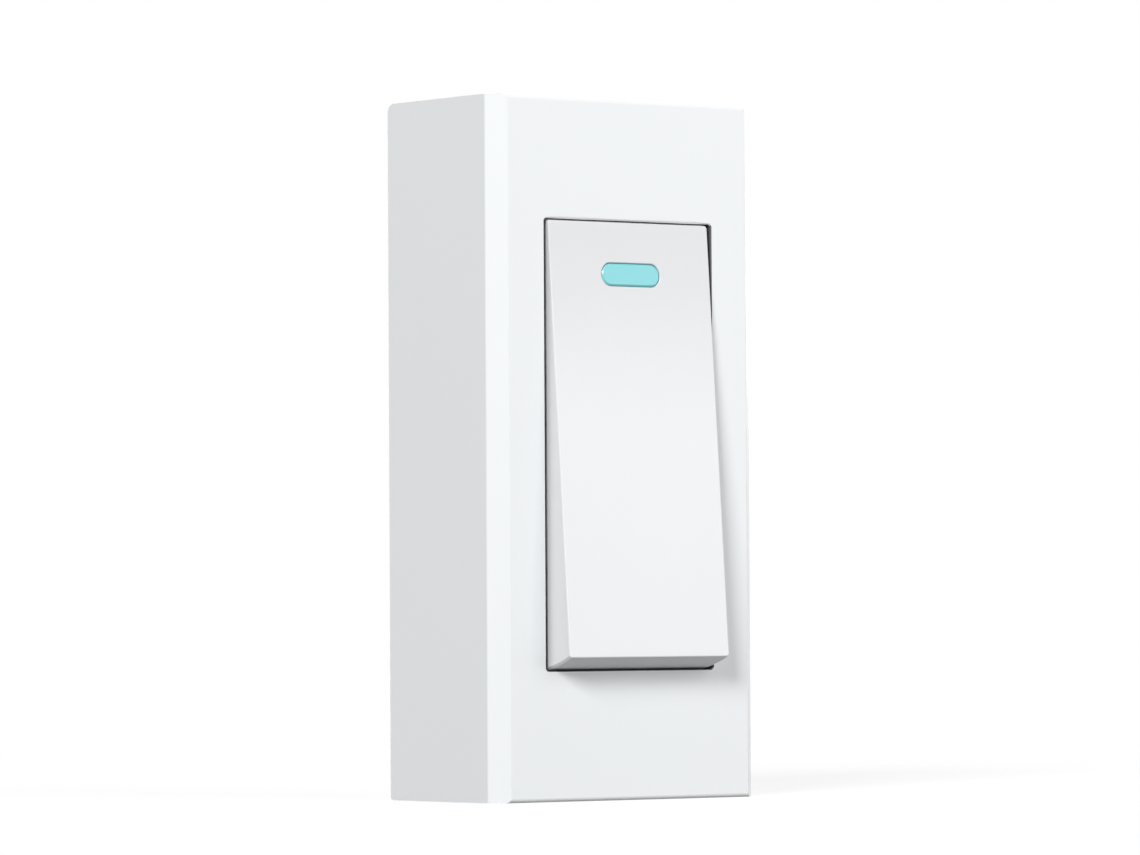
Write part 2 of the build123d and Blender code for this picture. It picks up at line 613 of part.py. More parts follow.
def build_mechanism_body():
    """Insulating cell with a switching chamber between two terminal chambers."""
    with BuildPart() as mechanism_body:
        with BuildSketch(CELL_FRONT.offset(BASE)):
            RectangleRounded(2 * CELL_HALF_WIDTH, 2 * CELL_HALF, RIB)
        extrude(amount=CELL_FRONT_DEPTH - BASE)
        terminal_length = CHAMBER_END - PARTITION_END
        chamber_width = 2 * (CELL_HALF_WIDTH - CELL_WALL)
        with BuildSketch(CELL_FRONT.offset(FLOOR_DEPTH)):
            Rectangle(chamber_width, 2 * CHAMBER_HALF)
            with GridLocations(0, CHAMBER_END + PARTITION_END, 1, 2):
                Rectangle(chamber_width, terminal_length)
        extrude(amount=CELL_FRONT_DEPTH - FLOOR_DEPTH, mode=Mode.SUBTRACT)

        # Ribs that guide the arm
        with BuildSketch(CELL_FRONT.offset(FLOOR_DEPTH)):
            with GridLocations(2 * GUIDE_X, 0, 2, 1):
                Rectangle(GUIDE, 2 * CHAMBER_HALF)
        extrude(amount=GUIDE_FRONT - FLOOR_DEPTH)

        # Slots in the partitions for the strips
        with BuildSketch(CELL_FRONT.offset(FLOOR_DEPTH)):
            with GridLocations(0, CHAMBER_HALF + PARTITION_END, 1, 2):
                Rectangle(STRIP_WIDTH + BASE_GAP, CELL_WALL)
        extrude(amount=STRIP + BASE_GAP, mode=Mode.SUBTRACT)

        # Two wire holes in each end wall
        with BuildSketch(Plane.XY.offset(PIVOT_Z - CELL_HALF)):
            with GridLocations(2 * WIRE_X, 0, 2, 1):
                with Locations((0, -TERMINAL_FRONT - WIRE_ROOM / 2)):
                    Circle(WIRE_HOLE_R)
        extrude(amount=CELL_WALL, mode=Mode.SUBTRACT)
        with BuildSketch(Plane.XY.offset(PIVOT_Z + CHAMBER_END)):
            with GridLocations(2 * WIRE_X, 0, 2, 1):
                with Locations((0, -TERMINAL_FRONT - WIRE_ROOM / 2)):
                    Circle(WIRE_HOLE_R)
        extrude(amount=CELL_WALL, mode=Mode.SUBTRACT)

        # Lugs for the two screws, at opposite corners
        with BuildSketch(CELL_FRONT.offset(BASE)):
            for side in (-1, 1):
                with Locations((side * LUG_X, side * LUG_Z)):
                    Circle(LUG_R)
                with Locations((side * LUG_X, side * (LUG_Z + CHAMBER_END) / 2)):
                    Rectangle(2 * LUG_R, LUG_Z - CHAMBER_END)
        extrude(amount=LUG)
        with BuildSketch(CELL_FRONT.offset(BASE)):
            with Locations((LUG_X, LUG_Z), (-LUG_X, -LUG_Z)):
                Circle(BODY_SCREW_HOLE_R)
        extrude(amount=LUG, mode=Mode.SUBTRACT)

        # Wedges on both sides that the frame's legs snap over
        for z in (-NUB_Z, NUB_Z):
            with BuildSketch(level(PIVOT_Z + z)):
                with BuildLine():
                    Polyline(
                        (CELL_HALF_WIDTH, NUB_BACK),
                        (CELL_HALF_WIDTH + NUB, NUB_BACK),
                        (CELL_HALF_WIDTH + NUB, NUB_BACK + NUB),
                        (CELL_HALF_WIDTH, NUB_FRONT),
                        close=True,
                    )
                make_face()
                mirror(about=Plane.YZ)
            extrude(amount=NUB_WIDTH / 2, both=True)
    save(mechanism_body, "mechanism_body")


def build_mechanism_frame():
    """Frame snapped over the cell: a window for the plunger and a bearing in each cheek."""
    leg_x = CELL_HALF_WIDTH + LEG_GAP
    with BuildPart() as mechanism_frame:
        with BuildSketch(CELL_FRONT.offset(CELL_FRONT_DEPTH)):
            RectangleRounded(2 * CELL_HALF_WIDTH, 2 * FRAME_HALF, RIB)
            with GridLocations(0, 2 * NUB_Z, 1, 2):
                Rectangle(2 * (leg_x + LEG), LEG_WIDTH)
            RectangleRounded(2 * FRAME_WINDOW_X, 2 * FRAME_WINDOW_Z, RIB, mode=Mode.SUBTRACT)
        extrude(amount=FRAME)

        # Cheeks with the bearings for the trunnions
        cheek_x = CELL_HALF_WIDTH - CHEEK
        for side in (-1, 1):
            with BuildSketch(CELL_SIDE.offset(side * cheek_x)):
                with Locations((0, PIVOT_DEPTH)):
                    Circle(CHEEK_R)
                with Locations((0, (FRAME_FRONT + PIVOT_DEPTH) / 2)):
                    Rectangle(2 * CHEEK_R, PIVOT_DEPTH - FRAME_FRONT)
                with Locations((0, FRAME_FRONT - CHEEK_R / 2)):
                    Rectangle(2 * CHEEK_R, CHEEK_R, mode=Mode.SUBTRACT)
                with Locations((0, PIVOT_DEPTH)):
                    Circle(TRUNNION_R + BEARING_GAP, mode=Mode.SUBTRACT)
            extrude(amount=side * CHEEK)

        # Legs down the cell's sides, with windows over the wedges
        leg_length = CELL_FRONT_DEPTH - LEG_BACK
        with BuildSketch(CELL_FRONT.offset(LEG_BACK)):
            with GridLocations(2 * leg_x + LEG, 2 * NUB_Z, 2, 2):
                Rectangle(LEG, LEG_WIDTH)
        extrude(amount=leg_length)
        with BuildSketch(CELL_SIDE):
            with Locations((NUB_Z, (NUB_BACK + NUB_FRONT) / 2), (-NUB_Z, (NUB_BACK + NUB_FRONT) / 2)):
                Rectangle(NUB_WIDTH + BASE_GAP, NUB_FRONT - NUB_BACK + BASE_GAP)
        extrude(amount=leg_x + LEG, both=True, mode=Mode.SUBTRACT)
    save(mechanism_frame, "mechanism_frame")


def build_terminal(name, side, route, contact_hole=None, knife=False):
    """Bent brass strip with a wide end, where a collar takes the thread of the clamp screw.

    The route is the middle of the strip's thickness, as height from the pivot and depth.
    """
    with BuildPart() as terminal:
        with BuildSketch(CELL_SIDE):
            with BuildLine():
                FilletPolyline(*route, radius=STRIP_BEND_R)
            trace(line_width=STRIP)
        extrude(amount=STRIP_WIDTH / 2, both=True)
        if knife:
            edge = terminal.faces().filter_by(Axis.Y).sort_by(Axis.Y)[0]
            chamfer(edge.edges().filter_by(Axis.X), STRIP / 2 - STOP_GAP)

        with BuildSketch(CELL_FRONT.offset(TERMINAL_FRONT - STRIP)):
            with Locations((0, side * (TERMINAL_STEP + STRIP + TERMINAL_END) / 2)):
                Rectangle(TERMINAL_WIDTH, TERMINAL_END - TERMINAL_STEP - STRIP)
        extrude(amount=STRIP)
        with BuildSketch(CELL_FRONT.offset(TERMINAL_FRONT - STRIP - TERMINAL_COLLAR)):
            with Locations((0, side * TERMINAL_Z)):
                Circle(TERMINAL_COLLAR_R)
        extrude(amount=TERMINAL_COLLAR)
        with BuildSketch(CELL_FRONT.offset(FLOOR_DEPTH)):
            with Locations((0, side * TERMINAL_Z)):
                Circle(THREAD_R + THREAD_GAP)
        extrude(amount=TERMINAL_FRONT - FLOOR_DEPTH, mode=Mode.SUBTRACT)

        if contact_hole is not None:
            with BuildSketch(CELL_FRONT.offset(FLOOR_DEPTH)):
                with Locations((0, contact_hole)):
                    Circle(CONTACT_HOLE_R)
            extrude(amount=STRIP, mode=Mode.SUBTRACT)
    save(terminal, name)


def build_common_terminal():
    """Strip from the lower terminal to the knife edge that the arm rocks on."""
    knife_top = ARM_DEPTH + ARM_NOTCH - RUNNING_GAP
    route = [
        (-TERMINAL_END, HEAD_LINE),
        (-TERMINAL_STEP, HEAD_LINE),
        (-TERMINAL_STEP, FLOOR_LINE),
        (0, FLOOR_LINE),
        (0, knife_top),
    ]
    build_terminal("common_terminal", -1, route, knife=True)


def build_load_terminal():
    """Strip from the upper terminal to the fixed contact."""
    route = [
        (TERMINAL_END, HEAD_LINE),
        (TERMINAL_STEP, HEAD_LINE),
        (TERMINAL_STEP, FLOOR_LINE),
        (CONTACT_Z - ARM_WIDTH / 2, FLOOR_LINE),
    ]
    build_terminal("load_terminal", 1, route, contact_hole=CONTACT_Z)


def build_fixed_contact():
    """Flat rivet contact on the load terminal."""
    strip_front = FLOOR_DEPTH + STRIP
    with BuildPart() as fixed_contact:
        with BuildSketch(CELL_FRONT.offset(FLOOR_DEPTH)):
            with Locations((0, CONTACT_Z)):
                Circle(CONTACT_SHANK_R)
        extrude(amount=STRIP)
        with BuildSketch(CELL_FRONT.offset(strip_front)):
            with Locations((0, CONTACT_Z)):
                Circle(CONTACT_R)
        extrude(amount=CONTACT_DEPTH - strip_front)
    save(fixed_contact, "fixed_contact")


def build_clamp_plate(name, side):
    """Pressed plate under a terminal screw, its edges turned in to hold the wires."""
    with BuildPart() as clamp_plate:
        with BuildSketch(CELL_FRONT.offset(CLAMP_DEPTH)):
            with Locations((0, side * TERMINAL_Z)):
                RectangleRounded(CLAMP_WIDTH, CLAMP_HEIGHT, CLAMP_LIP)
        extrude(amount=CLAMP)
        with BuildSketch(CELL_FRONT.offset(CLAMP_DEPTH - CLAMP_LIP)):
            with Locations((0, side * TERMINAL_Z)):
                with GridLocations(CLAMP_WIDTH - CLAMP_LIP, 0, 2, 1):
                    Rectangle(CLAMP_LIP, CLAMP_HEIGHT - 2 * CLAMP_LIP)
        extrude(amount=CLAMP_LIP)
        with BuildSketch(CELL_FRONT.offset(CLAMP_DEPTH)):
            with Locations((0, side * TERMINAL_Z)):
                Circle(CLAMP_HOLE_R)
        extrude(amount=CLAMP, mode=Mode.SUBTRACT)
    save(clamp_plate, name)


def build_terminal_screw(name, side):
    """Cheese-head screw with one slot."""
    seat = CLAMP_DEPTH + CLAMP
    with BuildPart() as terminal_screw:
        with BuildSketch(CELL_FRONT.offset(seat)):
            with Locations((0, side * TERMINAL_Z)):
                Circle(TERMINAL_HEAD_R)
        extrude(amount=TERMINAL_HEAD)
        with BuildSketch(CELL_FRONT.offset(seat)):
            with Locations((0, side * TERMINAL_Z)):
                Circle(THREAD_R)
        extrude(amount=-TERMINAL_SHANK)
        with BuildSketch(CELL_FRONT.offset(seat + TERMINAL_HEAD)):
            with Locations((0, side * TERMINAL_Z)):
                Rectangle(2 * TERMINAL_HEAD_R, SCREW_SLOT)
        extrude(amount=-SCREW_SLOT_DEPTH, mode=Mode.SUBTRACT)
    save(terminal_screw, name)


def build_mechanism_screw(name, side):
    """Pan-head screw with a cross recess, through a lug into the base."""
    seat = BASE + LUG
    with BuildPart() as mechanism_screw:
        with BuildSketch(CELL_FRONT.offset(seat)):
            with Locations((side * LUG_X, side * LUG_Z)):
                Circle(BODY_SCREW_HEAD_R)
        extrude(amount=BODY_SCREW_HEAD)
        rim = mechanism_screw.edges().group_by(Axis.Y)[0]
        chamfer(rim, BODY_SCREW_EDGE)
        with BuildSketch(CELL_FRONT.offset(seat)):
            with Locations((side * LUG_X, side * LUG_Z)):
                Circle(BODY_SCREW_R)
        extrude(amount=-BODY_SCREW_SHANK)
        with BuildSketch(CELL_FRONT.offset(seat + BODY_SCREW_HEAD)):
            with Locations((side * LUG_X, side * LUG_Z)):
                Rectangle(BODY_SCREW_HEAD_R, SCREW_SLOT)
                Rectangle(SCREW_SLOT, BODY_SCREW_HEAD_R)
        extrude(amount=-SCREW_SLOT_DEPTH, mode=Mode.SUBTRACT)
    save(mechanism_screw, name)


os.makedirs("parts", exist_ok=True)
build_front_cover()
build_rear_base()
build_rocker()
build_indicator_insert()
build_rocker_carrier()
build_plunger()
build_plunger_spring()
build_contact_arm()
build_moving_contact()
build_mechanism_body()
build_mechanism_frame()
build_common_terminal()
build_load_terminal()
build_fixed_contact()
for end, direction in (("common", -1), ("load", 1)):
    build_clamp_plate(f"{end}_clamp_plate", direction)
    build_terminal_screw(f"{end}_terminal_screw", direction)
for end, direction in (("lower", -1), ("upper", 1)):
    build_mechanism_screw(f"{end}_mechanism_screw", direction)
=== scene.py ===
import json
import math

import bmesh
import bpy
from mathutils import Matrix, Vector


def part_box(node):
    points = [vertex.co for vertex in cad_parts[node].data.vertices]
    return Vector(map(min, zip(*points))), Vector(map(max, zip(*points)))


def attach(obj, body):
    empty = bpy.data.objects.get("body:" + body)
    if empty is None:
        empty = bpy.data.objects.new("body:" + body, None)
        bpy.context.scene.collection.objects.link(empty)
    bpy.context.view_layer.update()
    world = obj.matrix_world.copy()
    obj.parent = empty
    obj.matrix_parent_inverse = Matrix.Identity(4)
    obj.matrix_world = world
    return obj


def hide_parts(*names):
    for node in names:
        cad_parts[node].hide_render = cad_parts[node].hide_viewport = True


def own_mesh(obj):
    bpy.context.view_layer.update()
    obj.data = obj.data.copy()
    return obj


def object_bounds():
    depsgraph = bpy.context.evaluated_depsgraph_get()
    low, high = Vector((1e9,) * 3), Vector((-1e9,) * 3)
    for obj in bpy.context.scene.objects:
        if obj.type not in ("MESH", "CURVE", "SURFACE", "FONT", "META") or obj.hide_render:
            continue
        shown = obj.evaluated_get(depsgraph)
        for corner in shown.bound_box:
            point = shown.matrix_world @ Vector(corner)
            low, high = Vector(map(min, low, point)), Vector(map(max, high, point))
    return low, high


# The looks of a surface-mounted light switch with one tall rocker. Sizes are in metres.
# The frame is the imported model's: the wall is the plane y = 0, the room is towards -Y, +Z is up.

MM = 0.001
MICRON = 1e-6

# Camera, placed from the housing's corners in the photograph
CAMERA_PLACE = Vector((-0.4909, -0.64976, -0.01973))
CAMERA_YAW = math.radians(37.5)
CAMERA_PITCH = math.radians(1.615)
CAMERA_ROLL = math.radians(-0.309)
CAMERA_LENS = 205.0
CAMERA_SENSOR = 36.0

# Stage: the floor turns plain white between the near and the far distance from its middle
WHITE = (1.0, 1.0, 1.0, 1.0)
FLOOR_SIZE = 6.0
FLOOR_TONE = 0.25
FLOOR_ROUGHNESS = 0.9
FLOOR_LIFT = 0.77
FLOOR_NEAR = 0.08
FLOOR_FAR = 0.25
AMBIENT = 0.1

# Lamps: name, azimuth, elevation, distance, side length and power
LAMPS = (
    ("key", -56, 28, 2.4, 0.72, 50.6),
    ("fill", 20, 26, 2.8, 2.0, 32.4),
    ("side", 55, 0, 0.35, 0.3, 0.3),
    ("right", 112, 22, 2.8, 2.0, 24.0),
    ("back", 165, 30, 1.4, 1.2, 8.0),
)

# Colours
COVER_WHITE = (0.83, 0.85, 0.865)
ROCKER_WHITE = (0.81, 0.815, 0.83)
INDICATOR_TEAL = (0.21, 0.64, 0.68)
BASE_WHITE = (0.78, 0.78, 0.77)
CELL_CREAM = (0.72, 0.70, 0.65)
FRAME_GREY = (0.52, 0.53, 0.55)
CARRIER_NATURAL = (0.78, 0.77, 0.72)
PLUNGER_NATURAL = (0.82, 0.78, 0.66)
SPRING_STEEL = (0.56, 0.56, 0.58)
BRASS = (0.83, 0.62, 0.30)
CONTACT_ALLOY = (0.86, 0.85, 0.82)
ZINC = (0.70, 0.71, 0.72)

# Middle range that most values of a noise fall in
NOISE_LOW = 0.3
NOISE_HIGH = 0.7

# Moulded plastic: sizes of the clouds in its tone, the patches in its gloss and its slow waves
CLOUD_SIZE = 40 * MM
PATCH_SIZE = 6 * MM
WAVE_SIZE = 9 * MM
GLOSS_CHANGE = 0.05
GRAIN = 0.3 * MM
POLISHED_GRAIN = 0.4 * MM
INDICATOR_GRAIN = 0.5 * MM

# Metal: size of its stains, and how much its gloss changes from line to line
STAIN_SIZE = 3 * MM
LINE_CHANGE = 0.25
ROLLED = (1.0, 0.08, 0.08)

# Painted shade: the rocker's colour darkens a little towards its upper end, and its walls are painted a little
# darker as shade; the walls are also matt.
# The front's normal has a Y of about -1, and a surface past the wall's Y counts as wall.
ROCKER_UPPER_Z = 28 * MM
ROCKER_UPPER_PAINTED_SHADE = 0.86
ROCKER_WALL_PAINTED_SHADE = 0.87
ROCKER_WALL_ROUGHNESS = 0.6
ROCKER_FRONT_Y = -0.85
ROCKER_WALL_Y = -0.6

# Painted shade: the aperture's long walls and lower end, with their chamfers, are painted nearly black.
# Each pair is where that starts and where it is full: across, down, and in the normal.
GAP_PAINTED_SHADE = 0.1
GAP_ACROSS = (14 * MM, 13.5 * MM)
GAP_DOWN = (-22 * MM, -24 * MM)
GAP_FACING = (0.5, 0.65)

# All four screws
SHARP_ANGLE = math.radians(35)
SCREW_SIDES = 36
SCREW_EDGE = 0.12 * MM

# Section of a thread over one pitch: a slope that is cut off at the crest and at the core
THREAD_CREST = 1.35
THREAD_SLOPE = 2.9

# Terminal screws: cheese head with a slot, metric thread
TERMINAL_HEAD = 1.5 * MM
TERMINAL_HEAD_R = 2.1 * MM
TERMINAL_THREAD_R = 1.25 * MM
TERMINAL_CORE_R = 1.0 * MM
TERMINAL_TIP_R = 0.75 * MM
TERMINAL_PITCH = 0.45 * MM
TERMINAL_PITCH_RINGS = 10
SLOT_WIDTH = 0.7 * MM
SLOT_DEPTH = 0.8 * MM

# Screws of the mechanism: pan head with a cross recess, coarse thread for plastic
PAN_HEAD = 1.4 * MM
PAN_HEAD_R = 2.3 * MM
PAN_CROWN = 0.55 * MM
PAN_CROWN_RINGS = 7
PAN_THREAD_R = 1.2 * MM
PAN_CORE_R = 0.85 * MM
PAN_TIP_R = 0.425 * MM
PAN_PITCH = 0.9 * MM
PAN_PITCH_RINGS = 14
RECESS_TOP = 2.3 * MM
RECESS_FOOT = 0.9 * MM
RECESS_WIDTH = 0.62 * MM
RECESS_DEPTH = 0.9 * MM
RECESS_OVER = 1.3

# Plunger spring, with closed ends
SPRING_R = 1.15 * MM
SPRING_WIRE_R = 0.16 * MM
SPRING_WIRE_SIDES = 12
SPRING_LENGTH = 4.12 * MM
SPRING_ACTIVE_TURNS = 4
SPRING_END_TURNS = 1
SPRING_TURN_RINGS = 48

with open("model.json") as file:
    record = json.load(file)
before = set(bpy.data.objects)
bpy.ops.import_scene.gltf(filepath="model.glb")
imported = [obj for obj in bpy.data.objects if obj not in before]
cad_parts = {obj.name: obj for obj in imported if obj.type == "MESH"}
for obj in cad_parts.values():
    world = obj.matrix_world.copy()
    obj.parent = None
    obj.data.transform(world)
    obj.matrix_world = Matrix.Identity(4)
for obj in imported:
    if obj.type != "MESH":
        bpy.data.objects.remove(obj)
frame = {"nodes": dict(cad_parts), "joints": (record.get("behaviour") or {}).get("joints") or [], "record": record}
cad_low, cad_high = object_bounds()
NODES = frame["nodes"]
PLUNGER_JOINT = next(joint for joint in frame["joints"] if joint["name"] == "plunger_slide")


def new_material(name):
    """Material with a Principled shader; returns it, its node tree and the shader."""
    material = bpy.data.materials.new(name)
    material.use_nodes = True
    tree = material.node_tree
    return material, tree, tree.nodes["Principled BSDF"]


def coordinates(tree, stretch=(1.0, 1.0, 1.0)):
    """The object's own coordinates in metres, scaled along each axis."""
    source = tree.nodes.new("ShaderNodeTexCoord")
    mapping = tree.nodes.new("ShaderNodeMapping")
    mapping.inputs["Scale"].default_value = stretch
    tree.links.new(source.outputs["Object"], mapping.inputs["Vector"])
    return mapping.outputs["Vector"]


def place_and_facing(tree):
    """The surface's point and its normal, each split into X, Y and Z."""
    source = tree.nodes.new("ShaderNodeTexCoord")
    parts = []
    for output in ("Object", "Normal"):
        split = tree.nodes.new("ShaderNodeSeparateXYZ")
        tree.links.new(source.outputs[output], split.inputs["Vector"])
        parts.append(split.outputs)
    return parts


def noise(tree, place, size, detail):
    """Noise whose features are about that size in metres."""
    node = tree.nodes.new("ShaderNodeTexNoise")
    node.inputs["Scale"].default_value = 1.0 / size
    node.inputs["Detail"].default_value = detail
    tree.links.new(place, node.inputs["Vector"])
    return node.outputs["Fac"]


def span(tree, value, start, end, low, high):
    """The value's range from start to end, turned into low to high."""
    node = tree.nodes.new("ShaderNodeMapRange")
    node.interpolation_type = "SMOOTHSTEP"
    node.inputs["From Min"].default_value = start
    node.inputs["From Max"].default_value = end
    node.inputs["To Min"].default_value = low
    node.inputs["To Max"].default_value = high
    tree.links.new(value, node.inputs["Value"])
    return node.outputs["Result"]


def share(tree, value, start, end):
    """0 where the value is at start, 1 where it is at end."""
    return span(tree, value, start, end, 0.0, 1.0)


def spread(tree, value, low, high):
    """Noise stretched from its usual middle range to low and high."""
    return span(tree, value, NOISE_LOW, NOISE_HIGH, low, high)


def blend_colours(tree, factor, first, second):
    """Mix of two colours, each a tuple or another node's output."""
    node = tree.nodes.new("ShaderNodeMix")
    node.data_type = "RGBA"
    tree.links.new(factor, node.inputs["Factor"])
    for socket, colour in ((node.inputs["A"], first), (node.inputs["B"], second)):
        if isinstance(colour, tuple):
            socket.default_value = (*colour, 1.0)
        else:
            tree.links.new(colour, socket)
    return node.outputs["Result"]


def absolute(tree, value):
    """The value without its sign."""
    node = tree.nodes.new("ShaderNodeMath")
    node.operation = "ABSOLUTE"
    tree.links.new(value, node.inputs[0])
    return node.outputs["Value"]


def product(tree, first, second):
    """Two values multiplied, the second a number or another node's output."""
    node = tree.nodes.new("ShaderNodeMath")
    node.operation = "MULTIPLY"
    tree.links.new(first, node.inputs[0])
    if isinstance(second, float):
        node.inputs[1].default_value = second
    else:
        tree.links.new(second, node.inputs[1])
    return node.outputs["Value"]


def bump(tree, height, depth, below=None):
    """Bump of that depth in metres, on top of another one if it is given."""
    node = tree.nodes.new("ShaderNodeBump")
    node.inputs["Distance"].default_value = depth
    tree.links.new(height, node.inputs["Height"])
    if below is not None:
        tree.links.new(below, node.inputs["Normal"])
    return node.outputs["Normal"]


def shade(colour, factor):
    """The colour made darker or lighter."""
    return tuple(min(1.0, channel * factor) for channel in colour)


def plastic(name, colour, roughness, grain, grain_depth, wave_depth, mottle=0.002):
    """Moulded plastic: a fine grain from the mould, slow waves from shrinkage, a faint mottle.

    Returns the material, its tree, its shader, and its colour output for further mixing.
    """
    material, tree, shader = new_material(name)
    place = coordinates(tree)
    clouds = spread(tree, noise(tree, place, CLOUD_SIZE, 1.0), 0.0, 1.0)
    tone = blend_colours(tree, clouds, shade(colour, 1.0 - mottle), shade(colour, 1.0 + mottle))
    tree.links.new(tone, shader.inputs["Base Color"])
    patches = noise(tree, place, PATCH_SIZE, 1.0)
    gloss = spread(tree, patches, roughness * (1.0 - GLOSS_CHANGE), roughness * (1.0 + GLOSS_CHANGE))
    tree.links.new(gloss, shader.inputs["Roughness"])
    waves = bump(tree, noise(tree, place, WAVE_SIZE, 1.0), wave_depth)
    skin = bump(tree, noise(tree, place, grain, 3.0), grain_depth, below=waves)
    tree.links.new(skin, shader.inputs["Normal"])
    return material, tree, shader, tone


def polished_plastic(name, colour):
    """The half-gloss plastic of the pieces that are seen from outside."""
    return plastic(name, colour, 0.30, POLISHED_GRAIN, 0.4 * MICRON, 3 * MICRON)


def matt_plastic(name, colour, roughness, grain_depth, wave_depth):
    """The plastic of the pieces at the back and inside."""
    return plastic(name, colour, roughness, GRAIN, grain_depth, wave_depth)[0]


def metal(name, colour, roughness, line_size, line_depth, stretch=(1.0, 1.0, 1.0), tint=0.05):
    """Worked metal: lines of rolling, turning or drawing, and a little tarnish."""
    material, tree, shader = new_material(name)
    shader.inputs["Metallic"].default_value = 1.0
    stains = spread(tree, noise(tree, coordinates(tree), STAIN_SIZE, 4.0), 0.0, 1.0)
    tone = blend_colours(tree, stains, shade(colour, 1.0 - tint), shade(colour, 1.0 + tint))
    tree.links.new(tone, shader.inputs["Base Color"])
    lines = noise(tree, coordinates(tree, stretch), line_size, 3.0)
    gloss = spread(tree, lines, roughness * (1.0 - LINE_CHANGE), roughness * (1.0 + LINE_CHANGE))
    tree.links.new(gloss, shader.inputs["Roughness"])
    tree.links.new(bump(tree, lines, line_depth), shader.inputs["Normal"])
    return material


def cover_plastic():
    """The cover's plastic, with painted shade on the aperture's long walls and lower end."""
    material, tree, shader, tone = polished_plastic("cover_finish", COVER_WHITE)
    place, facing = place_and_facing(tree)
    near = share(tree, absolute(tree, place["X"]), *GAP_ACROSS)
    low = share(tree, place["Z"], *GAP_DOWN)
    long_wall_shade = product(tree, share(tree, absolute(tree, facing["X"]), *GAP_FACING), near)
    upwards = product(tree, share(tree, facing["Z"], *GAP_FACING), near)
    # Painted shade: a dark colour stands in for the shade inside the gap round the rocker
    for part in (long_wall_shade, product(tree, upwards, low)):
        tone = blend_colours(tree, part, tone, shade(COVER_WHITE, GAP_PAINTED_SHADE))
    tree.links.new(tone, shader.inputs["Base Color"])
    return material


def rocker_plastic():
    """The rocker's plastic: a polished face with painted shade that darkens it upwards, and matt walls painted a
    little darker as shade.
    """
    material, tree, shader, tone = polished_plastic("rocker_finish", ROCKER_WHITE)
    place, facing = place_and_facing(tree)
    # Painted shade: the face's colour darkens towards its upper end
    height = share(tree, place["Z"], 0.0, ROCKER_UPPER_Z)
    upper = blend_colours(tree, height, tone, shade(ROCKER_WHITE, ROCKER_UPPER_PAINTED_SHADE))
    # Painted shade: the walls get a darker colour than the face
    wall = share(tree, facing["Y"], ROCKER_FRONT_Y, ROCKER_WALL_Y)
    walls_with_painted_shade = blend_colours(tree, wall, upper, shade(ROCKER_WHITE, ROCKER_WALL_PAINTED_SHADE))
    tree.links.new(walls_with_painted_shade, shader.inputs["Base Color"])

    gloss = shader.inputs["Roughness"].links[0].from_socket
    mix = tree.nodes.new("ShaderNodeMix")
    tree.links.new(wall, mix.inputs["Factor"])
    tree.links.new(gloss, mix.inputs["A"])
    mix.inputs["B"].default_value = ROCKER_WALL_ROUGHNESS
    tree.links.new(mix.outputs["Result"], shader.inputs["Roughness"])
    return material


def indicator_plastic():
    """The indicator's coloured plastic, a little glossier than what is round it."""
    return plastic(
        "indicator_finish", INDICATOR_TEAL, 0.25, INDICATOR_GRAIN, 0.3 * MICRON, 3 * MICRON, 0.006
    )[0]


def build_finishes():
    """All the finishes, by the record's material slot."""
    return {
        "cover_plastic": cover_plastic(),
        "rocker_plastic": rocker_plastic(),
        "indicator_plastic": indicator_plastic(),
        "base_plastic": matt_plastic("base_finish", BASE_WHITE, 0.55, 5 * MICRON, 10 * MICRON),
        "cell_plastic": matt_plastic("cell_finish", CELL_CREAM, 0.6, 5 * MICRON, 10 * MICRON),
        "frame_plastic": matt_plastic("frame_finish", FRAME_GREY, 0.55, 5 * MICRON, 8 * MICRON),
        "carrier_plastic": matt_plastic(
            "carrier_finish", CARRIER_NATURAL, 0.5, 4 * MICRON, 8 * MICRON
        ),
        "plunger_plastic": matt_plastic(
            "plunger_finish", PLUNGER_NATURAL, 0.4, 2 * MICRON, 4 * MICRON
        ),
        "spring_steel": metal("spring_finish", SPRING_STEEL, 0.30, 0.06 * MM, 2 * MICRON),
        "terminal_brass": metal("brass_finish", BRASS, 0.32, 0.1 * MM, 3 * MICRON, ROLLED),
        "contact_metal": metal("contact_finish", CONTACT_ALLOY, 0.35, 0.2 * MM, 3 * MICRON),
        "plated_steel": metal("plated_finish", ZINC, 0.33, 0.2 * MM, 3 * MICRON, tint=0.08),
    }


def dress_nodes(finishes):
    """Give each CAD node the finish of its material slot in the record."""
    for subpart in frame["record"]["subparts"]:
        for slot in NODES[subpart["node"]].material_slots:
            slot.material = finishes[subpart["material_slot"]]


def add_piece(name, mesh, finish, matrix):
    """Object with that mesh and finish, smooth apart from its sharp edges."""
    mesh.polygons.foreach_set("use_smooth", [True] * len(mesh.polygons))
    mesh.set_sharp_from_angle(angle=SHARP_ANGLE)
    mesh.materials.clear()
    mesh.materials.append(finish)
    piece = bpy.data.objects.new(name, mesh)
    piece.matrix_world = matrix
    bpy.context.scene.collection.objects.link(piece)
    return piece


def skin_rings(rings, name):
    """Closed mesh over a row of rings with equally many points, capped at both ends."""
    shell = bmesh.new()
    loops = [[shell.verts.new(point) for point in ring] for ring in rings]
    count = len(rings[0])
    for lower, upper in zip(loops, loops[1:]):
        for i in range(count):
            j = (i + 1) % count
            shell.faces.new((lower[i], lower[j], upper[j], upper[i]))
    shell.faces.new(reversed(loops[0]))
    shell.faces.new(loops[-1])
    bmesh.ops.recalc_face_normals(shell, faces=shell.faces)
    mesh = bpy.data.meshes.new(name)
    shell.to_mesh(mesh)
    shell.free()
    return mesh


def turned_ring(height, radius):
    """Level ring about Z. The radius is a number or a function of the angle."""
    ring = []
    for i in range(SCREW_SIDES):
        angle = math.tau * i / SCREW_SIDES
        reach = radius(angle) if callable(radius) else radius
        ring.append((reach * math.cos(angle), reach * math.sin(angle), height))
    return ring


